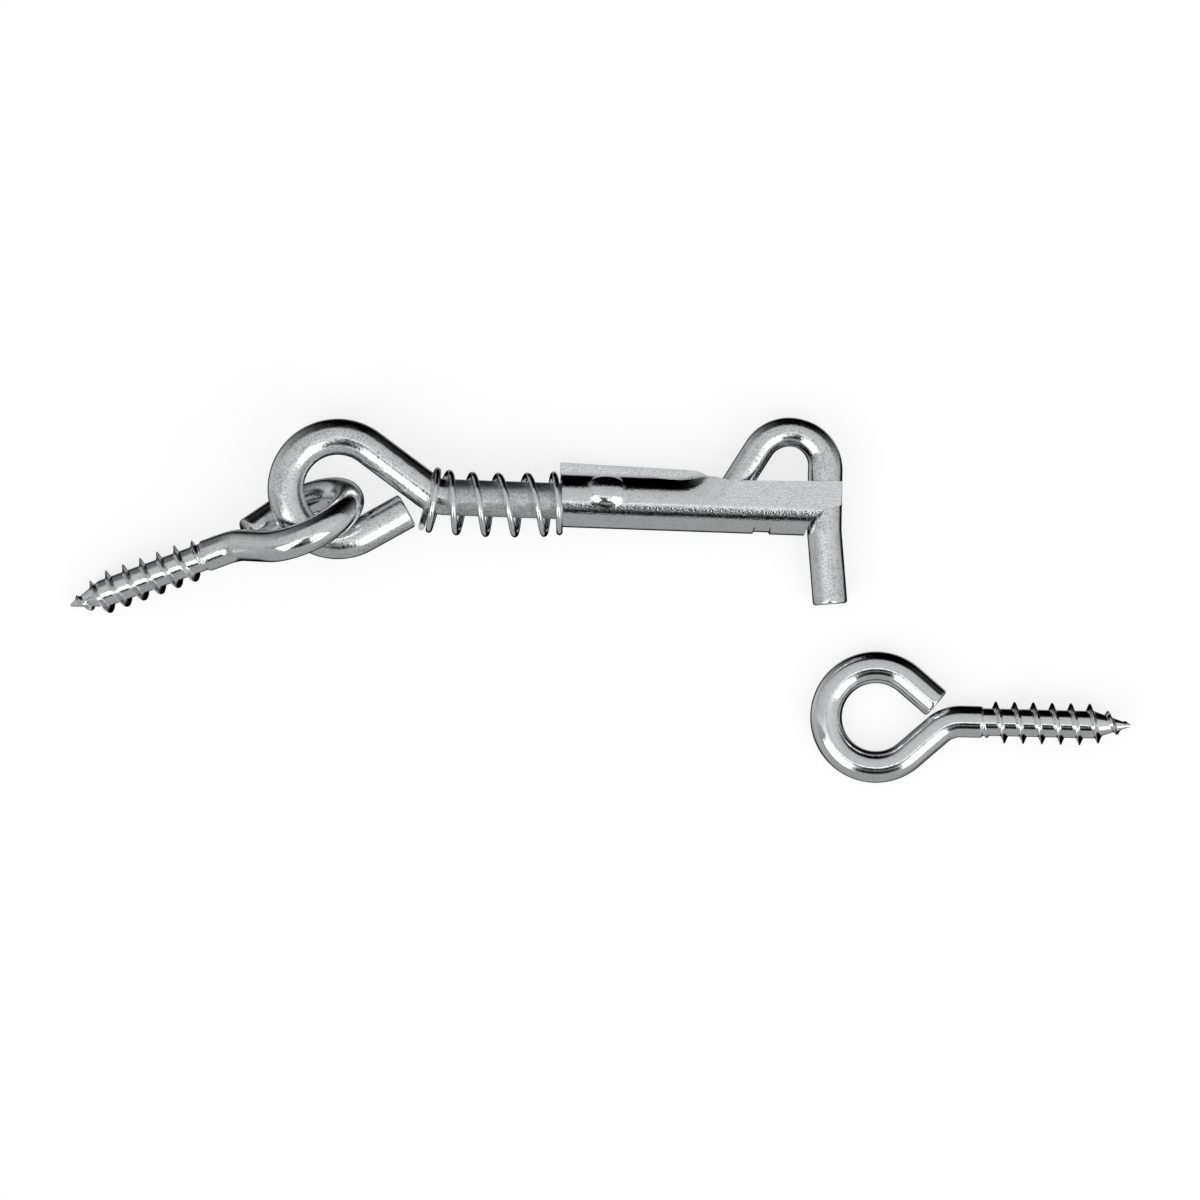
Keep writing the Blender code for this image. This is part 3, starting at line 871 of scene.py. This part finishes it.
class Paint:
    """A node tree that is filled by one method."""

    def __init__(self, tree):
        self.tree = tree
        tree.nodes.clear()

    def node(self, kind, settings=None, inputs=None, output=0):
        """Adds a node, sets it up, joins or fills its inputs and hands back one output."""
        node = self.tree.nodes.new(kind)
        for name, value in (settings or {}).items():
            if name == "stops":
                ramp = node.color_ramp
                while len(ramp.elements) < len(value):
                    ramp.elements.new(0.5)
                for element, (position, colour) in zip(ramp.elements, value):
                    if not isinstance(colour, tuple):
                        colour = (colour,) * 3
                    element.position = position
                    element.color = (*colour, 1.0)
            else:
                setattr(node, name, value)
        for name, value in (inputs or {}).items():
            if isinstance(value, Signal):
                self.tree.links.new(value.socket, node.inputs[name])
            else:
                node.inputs[name].default_value = value
        return Signal(self, node.outputs[output]) if node.outputs else None

    def ramp(self, value, *stops):
        """A number read off a line through stops."""
        return self.node("ShaderNodeValToRGB", {"stops": stops}, {"Fac": value})

    def stretched(self, place, stretch):
        """A place with each axis scaled, for patterns that are long one way."""
        return self.node("ShaderNodeVectorMath", {"operation": "MULTIPLY"}, {0: place, 1: stretch})

    def noise(self, place, scale, detail, roughness):
        """Soft random clouds, from 0 to 1."""
        return self.node(
            "ShaderNodeTexNoise",
            {},
            {"Vector": place, "Scale": scale, "Detail": detail, "Roughness": roughness},
        )


# %% [markdown]
# ## Bright zinc
#
# All five pieces are zinc-plated steel, and what tells them apart is how each was formed. Drawn
# wire has fine lines along it and a cloudy, speckled bloom. The rod is rubbed dull where the
# spring works on it. The spring is the smoothest, and the sheet has a fine even grain. One
# function makes the finish, and each piece sets how strong its marks are.

# %% Plate each piece
# Waves per metre of the drawing lines, the clouds and the grain.
LINE_WAVES = (240.0, 2400.0, 2400.0)
CLOUD_WAVES = 520.0
GRAIN_WAVES = 3300.0
LINE_ROUGHNESS = 0.22
CLOUD_ROUGHNESS = 0.35
GRAIN_ROUGHNESS = 0.05
WORN_EDGE = 1.0 * MM
WORN_ROUGHNESS = 0.26
WORN_SHADE = 0.13


def plated(name, tint, gloss, lines, cloud, grain, worn=None):
    """Zinc-plated steel: drawing lines along the metal, clouds in the plating and a fine grain.

    Along the worn stretch of a wire, the plating is rubbed dull.
    """
    material = bpy.data.materials.new(name)
    material.use_nodes = True
    paint = Paint(material.node_tree)
    straight = paint.node("ShaderNodeAttribute", {"attribute_name": "straight"}, {}, "Vector")
    place = paint.node("ShaderNodeTexCoord", {}, {}, "Object")
    drawn = paint.noise(paint.stretched(straight, LINE_WAVES), 1.0, 4.0, 0.6)
    clouds = paint.noise(place, CLOUD_WAVES, 4.0, 0.65)
    specks = paint.noise(place, GRAIN_WAVES, 2.0, 0.6)
    rough = gloss + lines * LINE_ROUGHNESS * (drawn - 0.5)
    rough = rough + cloud * CLOUD_ROUGHNESS * (clouds - 0.5)
    rough = rough + grain * GRAIN_ROUGHNESS * (specks - 0.5)
    mottle = 0.5 * clouds + 0.3 * drawn + 0.1 + 0.3 * grain * (specks - 0.5)
    if worn:
        start, end = worn
        along = paint.node("ShaderNodeSeparateXYZ", {}, {0: straight}, "X")
        rubbed = paint.node(
            "ShaderNodeMapRange",
            {"interpolation_type": "SMOOTHSTEP"},
            {0: along, 1: start - WORN_EDGE, 2: start + WORN_EDGE},
        ) - paint.node(
            "ShaderNodeMapRange",
            {"interpolation_type": "SMOOTHSTEP"},
            {0: along, 1: end - WORN_EDGE, 2: end + WORN_EDGE},
        )
        rough = rough + WORN_ROUGHNESS * rubbed
        mottle = mottle - WORN_SHADE * rubbed
    shade = paint.ramp(
        mottle,
        (0.28, tuple(value * (1 - 0.48 * cloud) for value in tint)),
        (0.54, tint),
    )
    height = lines * drawn + grain * 0.8 * specks + cloud * 0.6 * clouds
    bump = paint.node(
        "ShaderNodeBump", {}, {"Strength": 0.35, "Distance": 0.02 * MM, "Height": height}
    )
    shader = paint.node(
        "ShaderNodeBsdfPrincipled",
        {},
        {"Base Color": shade, "Metallic": 1.0, "Roughness": rough, "Normal": bump},
    )
    paint.node("ShaderNodeOutputMaterial", {}, {"Surface": shader})
    print(name, "has", len(material.node_tree.nodes), "nodes")
    return material


WORN_LENGTH = 20.0 * MM
plating = {
    hook: plated(
        "zinc_drawn_wire",
        (0.88, 0.89, 0.90),
        gloss=0.18,
        lines=0.9,
        cloud=0.8,
        grain=3.2,
        worn=(rod_from, rod_from + WORN_LENGTH),
    ),
    spring: plated(
        "zinc_spring_wire", (0.84, 0.85, 0.87), gloss=0.12, lines=0.3, cloud=0.2, grain=0.3
    ),
    sleeve: plated(
        "zinc_rolled_sheet", (0.86, 0.87, 0.88), gloss=0.10, lines=0.4, cloud=0.3, grain=4.5
    ),
    fixed_eye: plated(
        "zinc_fixed_eye", (0.88, 0.89, 0.90), gloss=0.13, lines=1.0, cloud=0.5, grain=2.6
    ),
    catch_eye: plated(
        "zinc_catch_eye", (0.86, 0.87, 0.88), gloss=0.11, lines=1.0, cloud=0.3, grain=1.4
    ),
}
for piece, finish in plating.items():
    piece.data.materials.clear()
    piece.data.materials.append(finish)

# %% [markdown]
# ## What rides on what
#
# Each piece is tied to one of four moving bodies. The spring sits on the hook and goes with it.
# Pulling the sleeve back would push the spring together towards its first turn. The share of its
# length that it keeps then is worked out and printed, but the coil keeps its shape. Each new piece
# hides the plain solid that it stands for.

# %% Tie the pieces to the model
for piece, body, node, slot in (
    (hook, "hook", "hook", "hook_wire"),
    (spring, "hook", "compression_spring", "spring_wire"),
    (sleeve, "sleeve", "locking_sleeve", "sleeve_sheet"),
    (fixed_eye, "fixed_eye", "fixed_screw_eye", "eye_wire"),
    (catch_eye, "catch_eye", "catch_screw_eye", "eye_wire"),
):
    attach(piece, body)
    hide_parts(node)
SLEEVE_TRAVEL = 10.5 * MM
spring_foot = cut_corner_x + SEAT_GAP + SPRING_WIRE + SPRING_BACK_LEAN / 2
pushed = 1 - SLEEVE_TRAVEL / (sleeve_back - spring_foot)
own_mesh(spring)
print(f"spring_coil keeps {pushed:.2f} of its length with the sleeve pulled back")

# %% [markdown]
# ## Light, floor and camera
#
# Plated metal shows its surroundings, so the light is drawn as a tent round the object. One set
# of grey bands runs along the rod and one across it, both read in degrees from straight up. The
# black gaps between the bands put dark lines along the rod, as in the photograph. Two bright
# panels stand in front, one to the left and one to the right. The floor and the pale dome are
# hidden from reflections, so the metal mirrors the tent instead.

# %% Light the tent
TENT_STRENGTH = 3.0
PANEL_LIGHT = (0.85, 0.85, 0.85, 1.0)
TENT_TURN = 0.2
NEAR_UPRIGHT = 0.0004
world = bpy.data.worlds.new("light_tent")
bpy.context.scene.world = world
world.use_nodes = True
sky = Paint(world.node_tree)
direction = sky.node("ShaderNodeTexCoord", {}, {}, "Generated")
x_part = sky.node("ShaderNodeSeparateXYZ", {}, {0: direction}, "X")
y_part = sky.node("ShaderNodeSeparateXYZ", {}, {0: direction}, "Y")
z_part = sky.node("ShaderNodeSeparateXYZ", {}, {0: direction}, "Z")


def around_axis(sideways, up):
    """Angle from straight up, as a number from 0 to 1 with 0.5 straight up."""
    angle = sky.node("ShaderNodeMath", {"operation": "ARCTAN2"}, {0: sideways, 1: up})
    return angle * (0.5 / math.pi) + 0.5


def by_degrees(angle, *stops):
    """A ramp with its stops in degrees, each with how bright the tent is there."""
    return sky.ramp(angle, *[(0.5 + degrees / 360.0, light) for degrees, light in stops])


lengthwise = by_degrees(
    around_axis(0.0 - y_part, z_part),
    (-180, 0.00),
    (-166, 0.02),
    (-157, 0.13),
    (-150, 0.12),
    (-142, 0.00),
    (-62, 0.00),
    (-54, 0.17),
    (-5, 0.21),
    (1, 0.05),
    (4, 0.46),
    (9, 0.46),
    (12, 0.00),
    (22, 0.00),
    (26, 0.06),
    (30, 0.06),
    (34, 0.00),
    (50, 0.00),
    (56, 0.12),
    (138, 0.12),
    (148, 0.00),
)
crosswise = by_degrees(
    around_axis(x_part, z_part),
    (-144, 0.00),
    (-130, 0.18),
    (-80, 0.165),
    (-20, 0.19),
    (0, 0.23),
    (12, 0.24),
    (80, 0.18),
    (108, 0.185),
    (122, 0.00),
)
# The share says how far a direction lies along the object, and mixes the two sets of bands. The
# axes are turned a little for it. Near upright, a small number keeps the division steady.
turned_x = x_part - TENT_TURN * y_part
turned_y = y_part + TENT_TURN * x_part
flat = turned_x * turned_x
share = sky.node(
    "ShaderNodeMath",
    {"operation": "DIVIDE"},
    {0: flat, 1: flat + turned_y * turned_y + NEAR_UPRIGHT},
)
share = sky.node("ShaderNodeMath", {"operation": "POWER"}, {0: share, 1: 2.0})
tent = sky.node(
    "ShaderNodeMix", {"data_type": "RGBA"}, {"Factor": share, 6: lengthwise, 7: crosswise}, 2
)
# The two panels have a place round the compass, from the front, and a height from straight up.
azimuth = around_axis(x_part, 0.0 - y_part)
height = sky.node("ShaderNodeMath", {"operation": "ARCCOSINE"}, {0: z_part}) * (1.0 / math.pi)
panels = by_degrees(
    azimuth, (-66, 0), (-58, 1), (-29, 1), (-22, 0), (27, 0), (32, 1), (58, 1), (66, 0)
)
tall = ((17, 0), (23, 1), (59, 1), (65, 0))
panels = panels * sky.ramp(height, *[(polar / 180.0, light) for polar, light in tall])
tent = sky.node(
    "ShaderNodeMix",
    {"data_type": "RGBA"},
    {"Factor": panels, 6: tent, 7: PANEL_LIGHT},
    2,
)
glow = sky.node("ShaderNodeBackground", {}, {"Color": tent, "Strength": TENT_STRENGTH})
sky.node("ShaderNodeOutputWorld", {}, {"Surface": glow})

# %% Lay the floor and raise the dome
STAGE_RADIUS = 3.2
bpy.ops.object.select_all(action="DESELECT")
bpy.ops.mesh.primitive_circle_add(vertices=96, radius=STAGE_RADIUS, fill_type="NGON")
floor = bpy.context.object
floor.name = "pale_floor"
bpy.ops.mesh.primitive_uv_sphere_add(segments=64, ring_count=32, radius=STAGE_RADIUS)
dome = bpy.context.object
dome.name = "pale_dome"
for stage_piece, colour, own_light in ((floor, 0.35, 0.755), (dome, 0.0, 0.97)):
    paper = bpy.data.materials.new(stage_piece.name + "_paper")
    paper.use_nodes = True
    sheet = Paint(paper.node_tree)
    shader = sheet.node(
        "ShaderNodeBsdfPrincipled",
        {},
        {
            "Base Color": (colour, colour, colour, 1.0),
            "Roughness": 1.0,
            "Specular IOR Level": 0.0,
            "Emission Color": (1.0, 1.0, 1.0, 1.0),
            "Emission Strength": own_light,
        },
    )
    sheet.node("ShaderNodeOutputMaterial", {}, {"Surface": shader})
    stage_piece.data.materials.append(paper)
    stage_piece.visible_glossy = False
    stage_piece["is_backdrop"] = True
dome.visible_diffuse = False
dome.visible_shadow = False
print("stage:", floor.name, "and", dome.name, "over", 2 * STAGE_RADIUS, "m")

# %% Set the camera where the photograph was taken
VIEW_HEIGHT = 1.2
VIEW_TURN = math.radians(2.0)
OBJECT_LEVEL = 7.0 * MM
FROM_LOOP = (36.673 * MM, -14.049 * MM)
FOCAL_LENGTH = 260.9
camera_data = bpy.data.cameras.new("photo_camera")
camera_data.sensor_width = 36.0
camera_data.lens = FOCAL_LENGTH
camera_data.clip_start = 0.05
camera_data.clip_end = 20.0
camera = bpy.data.objects.new("photo_camera", camera_data)
bpy.context.scene.collection.objects.link(camera)
camera.location = (
    loop_centre.x + FROM_LOOP[0],
    loop_centre.y + FROM_LOOP[1],
    VIEW_HEIGHT + OBJECT_LEVEL,
)
camera.rotation_euler = (0.0, 0.0, VIEW_TURN)
bpy.context.scene.camera = camera
bpy.context.scene.view_settings.view_transform = "Standard"

# %% Print the sizes and finish
low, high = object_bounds()
print("visual size in mm:", [round(1000 * length, 1) for length in high - low])
